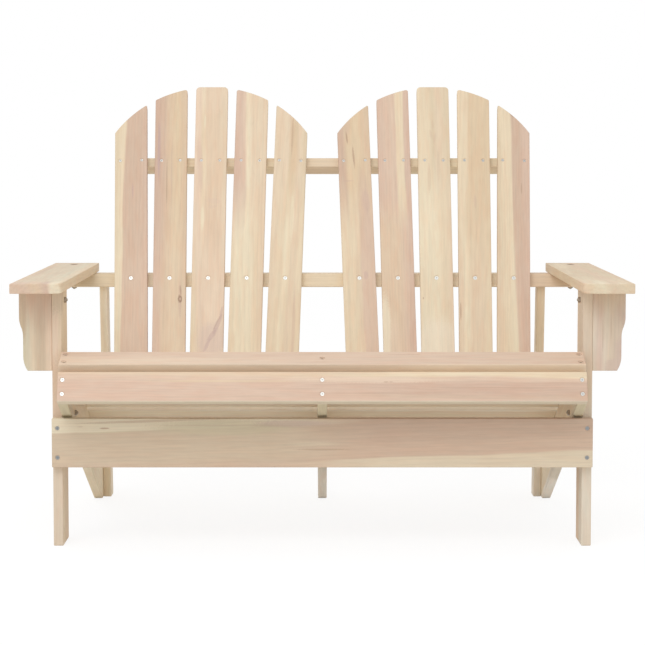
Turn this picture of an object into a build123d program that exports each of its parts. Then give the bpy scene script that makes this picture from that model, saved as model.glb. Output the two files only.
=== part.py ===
from build123d import *
import os
from math import cos, radians, sin, tan

# A two-seat slatted garden bench with a leaning, fanned back, made of planed boards that are
# screwed and bolted together. Lengths are in millimetres and angles in degrees. Left is the -X
# side and right the +X side, as seen by someone who stands in front of the bench.

os.makedirs("parts", exist_ok=True)

# Timber sizes
board = 20.0
arris = 2.0
leg_width = 100.0
stringer_width = 100.0
arm_width = 101.0
lower_board_width = 100.0
seat_slat_width = 62.0
back_slat_width = 74.5
rear_leg_width = 48.0
rear_leg_thickness = 18.0

# Frame: the stringers slope down to the back and end as feet on the floor
seat_width = 1056.0
arm_height = 522.4
seat_slope_angle = 22.6
nose_reach = 85.1
nose_height = 299.6
nose_face = 65.2
foot_length = 120.0
lower_board_gap = 0.3

# Seat: the first slat tips forward, the others lie on the slope
first_slat_tilt_angle = 19.3
first_slat_overhang = 1.3
first_gap = 10.0
seat_gap = 22.0
seat_slat_count = 5
apron_gap = 2.7

# Back: two fans of slats on three rails
back_tilt_angle = 28.1
seat_to_back_gap = 28.8
back_slat_length = 843.6
back_slat_count = 5
fan_centre = 259.0
slat_pitch = 81.95
splay_angle = 0.906
crown_radius = 266.0
outer_crown_corner = 2.5
inner_crown_corner = 5.0
flat_top_corner = 9.0
upper_rail_height = 23.5
upper_rail_depth = 38.0
upper_rail_middle = 654.2
upper_rail_inset = 10.8
middle_rail_height = 29.4
middle_rail_depth = 53.0
middle_rail_inset = 13.5
lower_rail_height = 38.0
lower_rail_depth = 22.0

# Rear legs
rear_leg_lean_angle = 7.6
rear_leg_setback = 18.5

# Arms and what carries them
arm_front_overhang = 110.0
arm_rear_overhang = 42.0
arm_inner_overhang = 10.5
arm_front_corner = 25.0
arm_rear_corner = 22.0
bracket_width = 66.6
bracket_height = 163.6
bracket_shoulder = 54.5
bracket_waist_width = 58.7
bracket_waist_drop = 94.5
bracket_toe_drop = 134.5
bracket_toe_width = 50.0
cleat_length = 75.0
cleat_width = 30.0
cleat_height = 45.0

# Fasteners
fit = 0.12
sink = 1.3
seat_screw_drop = 1.4
head_rim = 0.2
countersink_angle = 90.0
tip_length = 3.0
tip_share = 0.5
recess_width = 1.0
recess_length = 3.6
recess_depth = 1.6
fine_shank = 3.5
fine_head = 6.5
fine_length = 33.0
plain_shank = 4.0
plain_head = 8.0
plain_length = 40.0
stout_shank = 4.5
stout_head = 9.0
stout_length = 36.0
long_shank = 5.0
long_head = 9.5
long_length = 60.0
bolt_shank = 6.0
bolt_head = 12.0
socket_across = 4.0
socket_depth = 2.5
nut_across = 10.0
nut_height = 5.0
nut_chamfer = 0.7
bolt_end = 2.0

# Fastener spacings
slat_screw_spread = 43.0
outer_screw_spread = 50.0
middle_screw_drop = 2.4
upper_screw_drop = 4.4
seat_screw_spread = 36.0
apron_screw_spread = 29.3
lower_screw_spread = 60.0
lower_screw_inset = 11.5
bracket_screw_spread = 80.0
rear_screw_spread = 34.0
cleat_screw_spread = 45.0
leg_bolt_spread = 60.0


def ray(angle):
    """Unit vector of the side view, at an angle above the line that points straight back."""
    return Vector(cos(radians(angle)), sin(radians(angle)))


def square(direction):
    """Unit vector a quarter turn anticlockwise from a direction of the side view."""
    return Vector(-direction.Y, direction.X)


def meet(point, direction, other_point, other_direction):
    """Point where two lines of the side view cross."""
    cross = direction.X * other_direction.Y - direction.Y * other_direction.X
    gap = other_point - point
    share = (gap.X * other_direction.Y - gap.Y * other_direction.X) / cross
    return point + direction * share


# Points of the side view: X runs back from the front legs' faces and Y runs up from the floor
floor_line = (Vector(0, 0), Vector(1, 0))
straight_up = Vector(0, 1)
downhill = ray(-seat_slope_angle)
uphill_side = square(downhill)
nose = Vector(-nose_reach, nose_height)
nose_top = nose + uphill_side * nose_face
top_edge = nose + uphill_side * stringer_width
heel = meet(nose, downhill, *floor_line)
heel_back = heel + Vector(foot_length, 0)
heel_top = meet(top_edge, downhill, heel_back, straight_up)

first_run = ray(first_slat_tilt_angle)
ridge = meet(nose_top, first_run, top_edge, downhill)
first_corner = nose_top - first_run * first_slat_overhang
first_back = first_corner + first_run * seat_slat_width
first_seat_start = (first_back - ridge).dot(downhill) + first_gap
seat_corners = [
    ridge + downhill * (first_seat_start + index * (seat_slat_width + seat_gap))
    for index in range(seat_slat_count)
]

back_run = ray(90 - back_tilt_angle)
back_out = square(back_run)
back_foot = seat_corners[-1] + downhill * (seat_slat_width + seat_to_back_gap)
slat_rear = back_foot - back_out * board
crown_tip = back_foot + back_run * back_slat_length

arm_level = Vector(0, arm_height)
rail_bottom_level = Vector(0, arm_height - middle_rail_height)
rail_top_front = meet(slat_rear, back_run, arm_level, Vector(1, 0))
rail_bottom_front = meet(slat_rear, back_run, rail_bottom_level, Vector(1, 0))
rail_top_back = rail_top_front + Vector(middle_rail_depth, 0)
rail_bottom_back = rail_top_back - Vector(0, middle_rail_height)
arm_rear = rail_top_back.X + arm_rear_overhang

leg_run = ray(90 + rear_leg_lean_angle)
leg_front_top = rail_bottom_front + Vector(rear_leg_setback, 0)
leg_front_foot = meet(leg_front_top, leg_run, *floor_line)
leg_back_line = leg_front_top - square(leg_run) * rear_leg_width
leg_back_top = meet(leg_back_line, leg_run, rail_bottom_level, Vector(1, 0))
leg_back_foot = meet(leg_back_top, leg_run, *floor_line)

# The origin is the middle of the footprint, so everything is shifted forward by half its reach
back_reach = crown_tip.X + board * cos(radians(back_tilt_angle))
back_reach -= arris * (sin(radians(back_tilt_angle)) + cos(radians(back_tilt_angle)) - 1)
rear_reach = max(back_reach, arm_rear, heel_back.X)
front_y = (arm_front_overhang - rear_reach) / 2

# Places across the bench
inner_face = seat_width / 2 - board
outer_face = seat_width / 2 + board
stringer_x = seat_width / 2 - board / 2
stringer_places = (-stringer_x, 0, stringer_x)
arm_inner = seat_width / 2 - arm_inner_overhang
arm_middle = arm_inner + arm_width / 2
arm_length = arm_front_overhang + arm_rear


def in_space(x, point):
    """Point of the side view, set at x across the bench."""
    return Vector(x, front_y + point.X, point.Y)


def side_plane(x):
    """Plane of the side view at x: it is drawn on as seen from the right of the bench."""
    return Plane(origin=(x, front_y, 0), x_dir=(0, 1, 0), z_dir=(1, 0, 0))


def spot(x, point, out):
    """Place of a fastener's head, at a point of the side view, facing along out."""
    return Plane(origin=in_space(x, point), z_dir=(0, out.X, out.Y))


def side_spot(x, point):
    """Place of a fastener's head on an upright face, facing away from the middle if x is outward."""
    return Plane(origin=in_space(x, point), z_dir=(x, 0, 0))


def inward_spot(x, point):
    """Place of a fastener's head or nut on an upright face, facing the middle of the bench."""
    return Plane(origin=in_space(x, point), z_dir=(-x, 0, 0))


def pair(middle, direction, spread):
    """Two points, spread apart evenly about a middle point."""
    return [middle - direction * (spread / 2), middle + direction * (spread / 2)]


# Places of the screws' and bolts' heads
def seat_screw_spots(corner, run):
    """Two screws over each outer stringer and one over the middle stringer."""
    middle = corner + run * (seat_slat_width / 2) + square(run) * (board - seat_screw_drop)
    ends = [
        spot(x, point, square(run))
        for x in (-stringer_x, stringer_x)
        for point in pair(middle, run, seat_screw_spread)
    ]
    return ends + [spot(0, middle, square(run))]


apron_width = nose_face - apron_gap
apron_middle = nose - downhill * board + uphill_side * (apron_width / 2)
apron_spots = [
    spot(x, point, -downhill)
    for x in stringer_places
    for point in pair(apron_middle, uphill_side, apron_screw_spread)
]
first_spots = seat_screw_spots(first_corner, first_run)
sloped_spots = [spots for corner in seat_corners for spots in seat_screw_spots(corner, downhill)]

lower_board_top = meet(nose, downhill, Vector(0, 0), straight_up).Y - lower_board_gap
lower_board_bottom = lower_board_top - lower_board_width
lower_middle = Vector(-board, lower_board_top - lower_board_width / 2)
lower_board_spots = [
    spot(x, point, Vector(-1, 0))
    for x in (lower_screw_inset - outer_face, outer_face - lower_screw_inset)
    for point in pair(lower_middle, straight_up, lower_screw_spread)
]

leg_centre = Vector(leg_width / 2, 0)
leg_bolt_middle = meet(nose + uphill_side * (stringer_width / 2), downhill, leg_centre, straight_up)
leg_bolt_points = pair(leg_bolt_middle, straight_up, leg_bolt_spread)
cleat_bolt_point = leg_centre + Vector(0, arm_height - cleat_height / 2)
arm_bolt_point = (rail_top_front + rail_top_back) / 2
bracket_screw_middle = Vector(board / 2, arm_height - bracket_height / 2)
bracket_screw_points = pair(bracket_screw_middle, straight_up, bracket_screw_spread)
cleat_middle = Vector(board + cleat_length / 2, arm_height - cleat_height)
cleat_screw_points = pair(cleat_middle, Vector(1, 0), cleat_screw_spread)
cleat_x = outer_face + cleat_width / 2

leg_axis_top = (leg_front_top + leg_back_top) / 2
leg_lap_top = meet(top_edge, downhill, leg_back_foot, straight_up)
rear_screw_levels = pair(leg_lap_top / 2, straight_up, rear_screw_spread)
rear_screw_points = [meet(leg_axis_top, leg_run, level, Vector(1, 0)) for level in rear_screw_levels]
rear_top_point = leg_axis_top + Vector(0, middle_rail_height)
rear_leg_x = inner_face - rear_leg_thickness / 2

leg_bolt_spots = [side_spot(x, point) for x in (-outer_face, outer_face) for point in leg_bolt_points]
leg_nut_spots = [inward_spot(x, point) for x in (-inner_face, inner_face) for point in leg_bolt_points]
cleat_face = outer_face + cleat_width
cleat_bolt_spots = [side_spot(x, cleat_bolt_point) for x in (-cleat_face, cleat_face)]
cleat_nut_spots = [inward_spot(x, cleat_bolt_point) for x in (-seat_width / 2, seat_width / 2)]
arm_bolt_head = arm_bolt_point + Vector(0, board)
arm_nut_seat = arm_bolt_point - Vector(0, middle_rail_height)
arm_bolt_spots = [spot(x, arm_bolt_head, straight_up) for x in (-arm_middle, arm_middle)]
arm_nut_spots = [spot(x, arm_nut_seat, -straight_up) for x in (-arm_middle, arm_middle)]
bracket_spots = [
    inward_spot(x, point) for x in (-seat_width / 2, seat_width / 2) for point in bracket_screw_points
]
cleat_spots = [
    spot(x, point, -straight_up) for x in (-cleat_x, cleat_x) for point in cleat_screw_points
]
rear_leg_spots = [
    side_spot(x, point) for x in (-seat_width / 2, seat_width / 2) for point in rear_screw_points
]
rear_top_spots = [spot(x, rear_top_point, straight_up) for x in (-rear_leg_x, rear_leg_x)]

# The back's own plane: X across the bench and Y up along the slats' front faces
back_plane = Plane(
    origin=in_space(0, back_foot), x_dir=(1, 0, 0), z_dir=(0, back_out.X, back_out.Y)
)
fan_places = range(-(back_slat_count // 2), back_slat_count // 2 + 1)
middle_screw_height = (rail_top_front + rail_bottom_front - slat_rear * 2).dot(back_run) / 2
middle_screw_height -= middle_screw_drop
upper_screw_height = upper_rail_middle - upper_screw_drop
lower_screw_height = lower_rail_height / 2


def slat_place(fan_x, place):
    """A slat's foot on the back's plane, turned by its share of the fan's splay."""
    return Pos(fan_x + place * slat_pitch, 0) * Rot(Z=-place * splay_angle)


def slat_spots(fan_x, place, height, spread):
    """Screw places on one slat, at a height along the back and a spread to each side."""
    reach = (0,) if spread == 0 else (-spread / 2, spread / 2)
    return [back_plane * slat_place(fan_x, place) * Pos(x, height) for x in reach]


def upper_spread(place):
    """The two outer slats of a fan have their upper screws further apart."""
    return outer_screw_spread if abs(place) == back_slat_count // 2 else slat_screw_spread


every_slat = [(fan_x, place) for fan_x in (-fan_centre, fan_centre) for place in fan_places]
upper_slat_spots = []
middle_slat_spots = []
lower_slat_spots = []
for fan_x, place in every_slat:
    upper_slat_spots += slat_spots(fan_x, place, upper_screw_height, upper_spread(place))
    middle_slat_spots += slat_spots(fan_x, place, middle_screw_height, 0)
    lower_slat_spots += slat_spots(fan_x, place, lower_screw_height, slat_screw_spread)

lower_rail_axis = slat_rear + back_run * lower_rail_height - back_out * (lower_rail_depth / 2)
lower_rail_spots = [spot(x, lower_rail_axis, back_run) for x in stringer_places]


def bore(shank, head, length, spots):
    """Clearance holes with countersinks, cut from the heads' places down to the tips."""
    with Locations(*spots):
        CounterSinkHole(
            shank / 2 + fit,
            head / 2 + sink + head_rim + fit,
            depth=length + fit,
            counter_sink_angle=countersink_angle,
        )


def bore_fine(spots):
    bore(fine_shank, fine_head, fine_length, spots)


def bore_plain(spots):
    bore(plain_shank, plain_head, plain_length, spots)


def bore_stout(spots):
    bore(stout_shank, stout_head, stout_length, spots)


def bore_long(spots):
    bore(long_shank, long_head, long_length, spots)


def bore_bolt(spots, length):
    bore(bolt_shank, bolt_head, length, spots)


def save(piece, name):
    """Label a finished piece and write it to its own file."""
    piece.part.label = name
    export_step(piece.part, f"parts/{name}.step")


def ease(piece):
    """Round every edge of a board, as planed and sanded timber has it."""
    fillet(piece.edges(), arris)


def outline_board(points, x, thickness):
    """Board whose outline is drawn in the side view, from x towards the right."""
    with BuildSketch(side_plane(x)) as outline:
        with BuildLine():
            Polyline(*points, close=True)
        make_face()
    extrude(outline.sketch, amount=thickness)


def strip(corner, run, width, thickness):
    """Section of a board in the side view, from its first corner along run and then square to it."""
    rise = square(run) * thickness
    return [corner, corner + run * width, corner + run * width + rise, corner + rise]


# Stringers
def stringer(name, x):
    outline = [nose, heel, heel_back, heel_top, ridge, nose_top]
    with BuildPart() as piece:
        outline_board(outline, x - board / 2, board)
        ease(piece)
        bore_plain(apron_spots + first_spots + sloped_spots)
        bore_long(lower_rail_spots)
        if x != 0:
            bore_bolt(leg_bolt_spots, board * 2)
            bore_stout(rear_leg_spots)
    save(piece, name)


stringer("left_stringer", -stringer_x)
stringer("middle_stringer", 0)
stringer("right_stringer", stringer_x)

# Front legs
with BuildPart() as right_front_leg:
    outline_board(strip(Vector(0, 0), Vector(1, 0), leg_width, arm_height), seat_width / 2, board)
    ease(right_front_leg)
    bore_plain(lower_board_spots + bracket_spots)
    bore_bolt(leg_bolt_spots, board * 2)
    bore_bolt(cleat_bolt_spots, cleat_width + board)
save(right_front_leg, "right_front_leg")

with BuildPart() as left_front_leg:
    mirror(right_front_leg.part, about=Plane.YZ)
save(left_front_leg, "left_front_leg")

# Rear legs
with BuildPart() as right_rear_leg:
    outline_board(
        [leg_front_foot, leg_back_foot, leg_back_top, leg_front_top],
        inner_face - rear_leg_thickness,
        rear_leg_thickness,
    )
    ease(right_rear_leg)
    bore_stout(rear_leg_spots)
    bore_long(rear_top_spots)
save(right_rear_leg, "right_rear_leg")

with BuildPart() as left_rear_leg:
    mirror(right_rear_leg.part, about=Plane.YZ)
save(left_rear_leg, "left_rear_leg")

# Board across the front legs
with BuildPart() as lower_front_board:
    outline_board(
        strip(Vector(-board, lower_board_bottom), Vector(1, 0), board, lower_board_width),
        -outer_face,
        outer_face * 2,
    )
    ease(lower_front_board)
    bore_plain(lower_board_spots)
save(lower_front_board, "lower_front_board")

# Apron on the stringers' front ends
with BuildPart() as apron:
    outline_board(strip(nose, uphill_side, apron_width, board), -seat_width / 2, seat_width)
    ease(apron)
    bore_plain(apron_spots)
save(apron, "apron")

# Seat slats
with BuildPart() as first_seat_slat:
    outline_board(
        strip(first_corner, first_run, seat_slat_width, board), -seat_width / 2, seat_width
    )
    ease(first_seat_slat)
    bore_plain(first_spots)
save(first_seat_slat, "first_seat_slat")

for index, corner in enumerate(seat_corners):
    with BuildPart() as seat_slat:
        outline_board(
            strip(corner, downhill, seat_slat_width, board), -seat_width / 2, seat_width
        )
        ease(seat_slat)
        bore_plain(seat_screw_spots(corner, downhill))
    save(seat_slat, f"seat_slat_{index + 1}")


# Back slats: the outer ones are cut to the fan's round crown, the middle one is cut square
crown_corners = (flat_top_corner, inner_crown_corner, outer_crown_corner)


def back_slat(name, fan_x, place):
    crown_height = back_slat_length - crown_radius
    with BuildSketch() as crown:
        with Locations((fan_x, crown_height)):
            Circle(crown_radius)
            Rectangle(crown_radius * 2, back_slat_length * 2, align=(Align.CENTER, Align.MAX))
    with BuildPart() as piece:
        with BuildSketch(back_plane) as face:
            with Locations(slat_place(fan_x, place)):
                Rectangle(back_slat_width, back_slat_length, align=(Align.CENTER, Align.MIN))
            if place != 0:
                add(crown.sketch, mode=Mode.INTERSECT)
            fillet(face.vertices().sort_by(Axis.Y)[-2:], crown_corners[abs(place)])
            fillet(face.vertices().sort_by(Axis.Y)[:2], arris)
        extrude(amount=-board)
        fillet(piece.faces().filter_by(back_plane).edges(), arris)
        bore_fine(slat_spots(fan_x, place, upper_screw_height, upper_spread(place)))
        bore_stout(slat_spots(fan_x, place, middle_screw_height, 0))
        bore_fine(slat_spots(fan_x, place, lower_screw_height, slat_screw_spread))
    save(piece, name)


for side, fan_x in (("left", -fan_centre), ("right", fan_centre)):
    for number, place in enumerate(fan_places, start=1):
        back_slat(f"back_slat_{side}_{number}", fan_x, place)

# Back rails
with BuildPart() as upper_back_rail:
    rail_foot = slat_rear + back_run * (upper_rail_middle - upper_rail_height / 2)
    outer_place = fan_places[-1]
    outer_slat_x = fan_centre + outer_place * slat_pitch
    outer_slat_x += upper_rail_middle * sin(radians(outer_place * splay_angle))
    upper_rail_half = outer_slat_x + back_slat_width / 2 - upper_rail_inset
    outline_board(
        strip(rail_foot - back_out * upper_rail_depth, back_run, upper_rail_height, upper_rail_depth),
        -upper_rail_half,
        upper_rail_half * 2,
    )
    ease(upper_back_rail)
    bore_fine(upper_slat_spots)
save(upper_back_rail, "upper_back_rail")

with BuildPart() as middle_back_rail:
    middle_rail_half = arm_inner + arm_width - middle_rail_inset
    outline_board(
        [rail_bottom_front, rail_bottom_back, rail_top_back, rail_top_front],
        -middle_rail_half,
        middle_rail_half * 2,
    )
    ease(middle_back_rail)
    bore_stout(middle_slat_spots)
    bore_long(rear_top_spots)
    bore_bolt(arm_bolt_spots, board + middle_rail_height)
save(middle_back_rail, "middle_back_rail")

with BuildPart() as lower_back_rail:
    rail_seat = meet(slat_rear, back_run, ridge, downhill)
    rail_back_line = rail_seat - back_out * lower_rail_depth
    rail_seat_back = meet(rail_back_line, back_run, ridge, downhill)
    rail_crest = slat_rear + back_run * lower_rail_height
    outline_board(
        [rail_seat, rail_seat_back, rail_crest - back_out * lower_rail_depth, rail_crest],
        -seat_width / 2,
        seat_width,
    )
    ease(lower_back_rail)
    bore_fine(lower_slat_spots)
    bore_long(lower_rail_spots)
save(lower_back_rail, "lower_back_rail")

# Arms: the front inner and the rear outer corners are rounded
with BuildPart() as right_arm:
    arm_plane = Plane(origin=(arm_inner, front_y - arm_front_overhang, arm_height))
    with BuildSketch(arm_plane) as arm_face:
        Rectangle(arm_width, arm_length, align=(Align.MIN, Align.MIN))
        by_depth = arm_face.vertices().sort_by(Axis.Y)
        front_corners = by_depth[:2].sort_by(Axis.X)
        rear_corners = by_depth[2:].sort_by(Axis.X)
        fillet(front_corners[0], arm_front_corner)
        fillet(rear_corners[1], arm_rear_corner)
        fillet([front_corners[1], rear_corners[0]], arris)
    extrude(amount=board)
    fillet(right_arm.faces().filter_by(Axis.Z).edges(), arris)
    bore_bolt(arm_bolt_spots, board + middle_rail_height)
    bore_long(cleat_spots)
save(right_arm, "right_arm")

with BuildPart() as left_arm:
    mirror(right_arm.part, about=Plane.YZ)
save(left_arm, "left_arm")

# Arm brackets: an ogee outer edge, level with the front legs' faces
with BuildPart() as right_arm_bracket:
    bracket_plane = Plane(
        origin=(outer_face, front_y, arm_height), x_dir=(1, 0, 0), z_dir=(0, -1, 0)
    )
    ogee_middle = (
        (bracket_width + bracket_waist_width) / 2,
        -(bracket_shoulder + bracket_waist_drop) / 2,
    )
    with BuildSketch(bracket_plane):
        with BuildLine():
            Polyline(
                (bracket_toe_width, -bracket_height),
                (0, -bracket_height),
                (0, 0),
                (bracket_width, 0),
                (bracket_width, -bracket_shoulder),
            )
            shoulder = TangentArc((bracket_width, -bracket_shoulder), ogee_middle, tangent=(0, -1))
            TangentArc(
                ogee_middle, (bracket_waist_width, -bracket_waist_drop), tangent=shoulder % 1
            )
            Line(
                (bracket_waist_width, -bracket_waist_drop), (bracket_waist_width, -bracket_toe_drop)
            )
            TangentArc(
                (bracket_waist_width, -bracket_toe_drop),
                (bracket_toe_width, -bracket_height),
                tangent=(0, -1),
            )
        make_face()
    extrude(amount=-board)
    fillet(right_arm_bracket.faces().filter_by(Axis.Y).edges(), arris)
    bore_plain(bracket_spots)
save(right_arm_bracket, "right_arm_bracket")

with BuildPart() as left_arm_bracket:
    mirror(right_arm_bracket.part, about=Plane.YZ)
save(left_arm_bracket, "left_arm_bracket")

# Arm cleats: blocks behind the brackets, bolted to the legs and screwed to the arms
with BuildPart() as right_arm_cleat:
    outline_board(
        strip(Vector(board, arm_height - cleat_height), Vector(1, 0), cleat_length, cleat_height),
        outer_face,
        cleat_width,
    )
    ease(right_arm_cleat)
    bore_bolt(cleat_bolt_spots, cleat_width + board)
    bore_long(cleat_spots)
save(right_arm_cleat, "right_arm_cleat")

with BuildPart() as left_arm_cleat:
    mirror(right_arm_cleat.part, about=Plane.YZ)
save(left_arm_cleat, "left_arm_cleat")


# Screws
def pin_profile(shank, head, length, point):
    """Half section of a countersunk pin, with its head just under the surface."""
    cone = (head - shank) / 2 / tan(radians(countersink_angle / 2))
    Polyline(
        (0, -sink),
        (head / 2, -sink),
        (head / 2, -sink - head_rim),
        (shank / 2, -sink - head_rim - cone),
        (shank / 2, point - length),
        (shank / 2 * tip_share, -length),
        (0, -length),
        close=True,
    )


def screws(name, shank, head, length, spots):
    """Countersunk cross-recess screws, one at each place, in one node."""
    with BuildPart() as one:
        with BuildSketch(Plane.XZ):
            with BuildLine():
                pin_profile(shank, head, length, tip_length)
            make_face()
        revolve(axis=Axis.Z)
        with BuildSketch(Plane.XY.offset(-sink)):
            Rectangle(recess_length, recess_width)
            Rectangle(recess_width, recess_length)
        extrude(amount=-recess_depth, mode=Mode.SUBTRACT)
    with BuildPart() as group:
        with Locations(*spots):
            add(one.part)
    save(group, name)


def bolts(name, length, spots):
    """Countersunk socket-head bolts, one at each place, in one node."""
    with BuildPart() as one:
        with BuildSketch(Plane.XZ):
            with BuildLine():
                pin_profile(bolt_shank, bolt_head, length, bolt_end / 2)
            make_face()
        revolve(axis=Axis.Z)
        with BuildSketch(Plane.XY.offset(-sink)):
            RegularPolygon(socket_across / 2, 6, major_radius=False)
        extrude(amount=-socket_depth, mode=Mode.SUBTRACT)
    with BuildPart() as group:
        with Locations(*spots):
            add(one.part)
    save(group, name)


screws("upper_slat_screws", fine_shank, fine_head, fine_length, upper_slat_spots)
screws("middle_slat_screws", stout_shank, stout_head, stout_length, middle_slat_spots)
screws("lower_slat_screws", fine_shank, fine_head, fine_length, lower_slat_spots)
screws("seat_slat_screws", plain_shank, plain_head, plain_length, first_spots + sloped_spots)
screws("apron_screws", plain_shank, plain_head, plain_length, apron_spots)
screws("lower_board_screws", plain_shank, plain_head, plain_length, lower_board_spots)
screws("bracket_screws", plain_shank, plain_head, plain_length, bracket_spots)
screws("rear_leg_screws", stout_shank, stout_head, stout_length, rear_leg_spots)
screws("rear_leg_top_screws", long_shank, long_head, long_length, rear_top_spots)
screws("lower_rail_screws", long_shank, long_head, long_length, lower_rail_spots)
screws("cleat_screws", long_shank, long_head, long_length, cleat_spots)

nut_end = nut_height + bolt_end
bolts("leg_bolts", board * 2 + nut_end, leg_bolt_spots)
bolts("cleat_bolts", cleat_width + board + nut_end, cleat_bolt_spots)
bolts("arm_bolts", board + middle_rail_height + nut_end, arm_bolt_spots)

# Nuts
with BuildPart() as one_nut:
    with BuildSketch():
        RegularPolygon(nut_across / 2, 6, major_radius=False)
        Circle(bolt_shank / 2 + fit, mode=Mode.SUBTRACT)
    extrude(amount=nut_height)
    rim = one_nut.edges().group_by(Axis.Z)[-1].filter_by(GeomType.LINE)
    chamfer(rim, nut_chamfer)

with BuildPart() as hex_nuts:
    with Locations(*leg_nut_spots, *cleat_nut_spots, *arm_nut_spots):
        add(one_nut.part)
save(hex_nuts, "hex_nuts")

print("front legs' faces at y", round(front_y, 3))
print("back foot", back_foot, "crown tip", crown_tip)
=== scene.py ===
# %% [markdown]
# # A slatted two-seat garden bench in raw fir
# The bench is all planed softwood boards, held by countersunk screws and a few bolts. Its frame is
# already modelled to size, so this notebook gives each board the look of the log that it was sawn
# from, gives the fasteners their plated steel, and sets up the camera and the light.
# Nothing is painted or oiled here: what the eye reads as wood is pale sapwood beside pinkish
# heartwood, straight streaks along each board, a few knots, and soft edges.

# %% Load the bench
import math

import bmesh
import bpy
from mathutils import Matrix, Vector


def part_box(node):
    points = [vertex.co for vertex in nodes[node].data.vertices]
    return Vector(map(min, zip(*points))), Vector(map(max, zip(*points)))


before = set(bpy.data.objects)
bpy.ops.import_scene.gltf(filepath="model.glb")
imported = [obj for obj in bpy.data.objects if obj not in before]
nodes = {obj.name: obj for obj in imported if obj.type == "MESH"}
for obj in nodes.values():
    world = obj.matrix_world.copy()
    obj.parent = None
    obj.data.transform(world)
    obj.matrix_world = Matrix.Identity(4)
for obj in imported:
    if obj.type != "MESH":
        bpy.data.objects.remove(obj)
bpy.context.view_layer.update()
print("bench of", len(nodes), "nodes")

# %% [markdown]
# ## Camera
# The bench was seen straight from the front with a long lens, a little above the arms, looking
# slightly down. The distance and the tilt follow from how much the far boards shrink against the
# near ones. A camera can be aimed by eye instead, but one that is placed by numbers can be
# checked. A long lens keeps the upright slats almost parallel, which a wide one wouldn't.

# %% Place the camera
picture_width_px = 645
focal_length_px = 2311
sensor_width_mm = 36.0
camera_place = Vector((0.0004, -5.018, 0.822))
camera_tilt_down = math.radians(4.47)

camera_data = bpy.data.cameras.new("front_camera")
camera_data.sensor_width = sensor_width_mm
camera_data.lens = sensor_width_mm * focal_length_px / picture_width_px
camera = bpy.data.objects.new("front_camera", camera_data)
camera.location = camera_place
camera.rotation_euler = (math.pi / 2 - camera_tilt_down, 0, 0)
bpy.context.scene.collection.objects.link(camera)
bpy.context.scene.camera = camera
bpy.context.scene.view_settings.view_transform = "Standard"
print("lens", round(camera_data.lens, 1), "mm")

# %% [markdown]
# ## Helpers for colours and materials
# Every material below is built from shader nodes. `add` makes a node, sets its properties and
# either fills or links its sockets, so a recipe reads from top to bottom. Colours are written as
# the hex values that a paint chart or a screen shows, and `linear` turns them into the linear
# light values that a renderer adds up. The same could be clicked together in the shader editor,
# but a recipe in text can be repeated for every board with other numbers.

# %% Helpers
MM = 0.001


def linear(hex_colour):
    """Linear RGBA of a colour written as six hex digits in sRGB."""
    channels = [int(hex_colour[i:i + 2], 16) / 255 for i in (1, 3, 5)]
    decoded = [c / 12.92 if c <= 0.04045 else ((c + 0.055) / 1.055) ** 2.4 for c in channels]
    return (*decoded, 1.0)


def add(tree, kind, inputs=None, **settings):
    """Add a node. Inputs are values or other nodes' outputs, keyed by socket name or number."""
    node = tree.nodes.new("ShaderNode" + kind)
    for name, value in settings.items():
        setattr(node, name, value)
    for key, value in (inputs or {}).items():
        if isinstance(value, bpy.types.NodeSocket):
            tree.links.new(value, node.inputs[key])
        else:
            node.inputs[key].default_value = value
    return node


def empty_material(name):
    """A new material and its node tree, with no nodes in it yet."""
    material = bpy.data.materials.new(name)
    material.use_nodes = True
    material.node_tree.nodes.clear()
    return material, material.node_tree


def dress(node, material):
    """Give a node of the bench this material alone."""
    slots = nodes[node].data.materials
    slots.clear()
    slots.append(material)


print("sRGB #808080 is", round(linear("#808080")[0], 3), "in linear light")

# %% [markdown]
# ## What fir looks like, as a field in space
# A board is a slice of a log, so its pattern fills the whole board and its faces only cut through
# it. A picture of wood on each face would break at the edges and repeat on the next board. A
# pattern in space does neither, so the node group below holds one, in millimetres in the board's
# own axes: X across the board, Y along the grain and Z through it. It gives five things:
# - Across: the place across the board, from 0 to 1, that wanders a little along the length. The
#   sapwood and heartwood bands follow it.
# - Along: the place along the grain, from the middle of the board.
# - Shade: how much lighter or darker the wood is there. Growth rings, fibres, streaks, clouds and
#   short flecks each add a few percent.
# - Blush: where the wood is a little redder, in broad patches drawn out along the grain.
# - Height: the fine ridges that a planer leaves between soft and hard wood.

# %% Sockets of the pattern
fir = bpy.data.node_groups.new("fir_pattern", "ShaderNodeTree")
fir.interface.new_socket("Place", in_out="INPUT", socket_type="NodeSocketVector")
for name in ("Seed", "Width", "Drift", "Skew", "Pith Across", "Pith Depth", "Ring Gap"):
    fir.interface.new_socket(name, in_out="INPUT", socket_type="NodeSocketFloat")
for name in ("Across", "Shade", "Blush", "Height", "Along"):
    fir.interface.new_socket(name, in_out="OUTPUT", socket_type="NodeSocketFloat")
given = fir.nodes.new("NodeGroupInput").outputs
print("the pattern has", len(fir.interface.items_tree), "sockets")

# %% [markdown]
# ### Noise drawn out along the grain
# Fibres are many times longer than wide. Noise gets that shape when the place is divided by a
# width across the grain and by a length along it before the noise is read. Seven layers of it,
# broad and fine, are kept by name for the steps below.
# Real fibres are a few hundredths of a millimetre wide. Here they are 2 mm, because anything
# finer than a pixel of the picture only turns grey. The seed moves each board to a place of its
# own in the noise, as boards come from different logs.

# %% Grain noise
grain_layers = {  # width and length in mm, and how much finer detail it has
    "wander": (50.0, 360.0, 2.0),
    "ring_wobble": (12.0, 220.0, 2.0),
    "fibres": (2.0, 60.0, 3.0),
    "streaks": (6.0, 130.0, 2.0),
    "flecks": (1.6, 26.0, 1.0),
    "blush": (12.0, 80.0, 2.0),
    "clouds": (10.0, 32.0, 2.0),
}
noise_roughness = 0.6
seed_step = 613.0

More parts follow.
